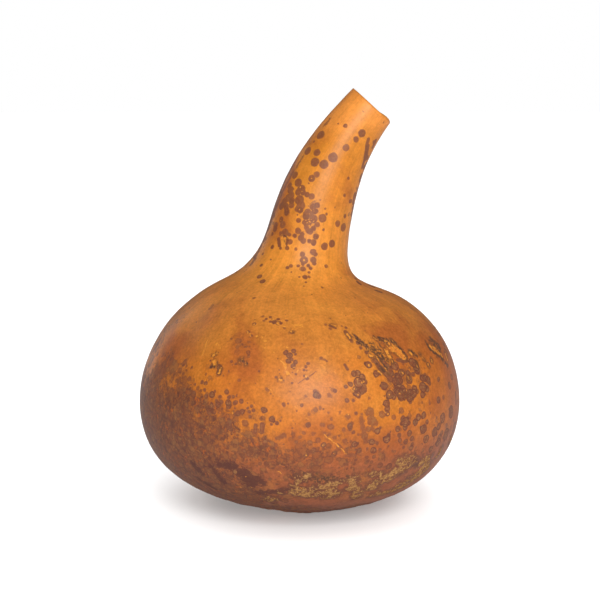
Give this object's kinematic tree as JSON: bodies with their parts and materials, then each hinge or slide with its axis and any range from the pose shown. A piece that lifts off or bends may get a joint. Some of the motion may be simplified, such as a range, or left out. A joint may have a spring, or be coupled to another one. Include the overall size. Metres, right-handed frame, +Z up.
{
  "type": "dried bottle gourd",
  "caption": "Dried bottle gourd with a squat round belly and a curved, tapering neck sawn off square, hollow and open at the mouth.",
  "frame": {"origin": "on the supporting surface, under the middle of the gourd's box", "axes": "+Z up; the neck leans towards +X and a little towards +Y; -Y faces the picture's camera"},
  "size_m": [0.2006, 0.2012, 0.2608],
  "materials": {
    "rind": "smooth dried rind, orange-brown with dark mould spots, low gloss"
  },
  "bodies": {
    "root": {"gourd": "rind"}
  },
  "joints": []
}
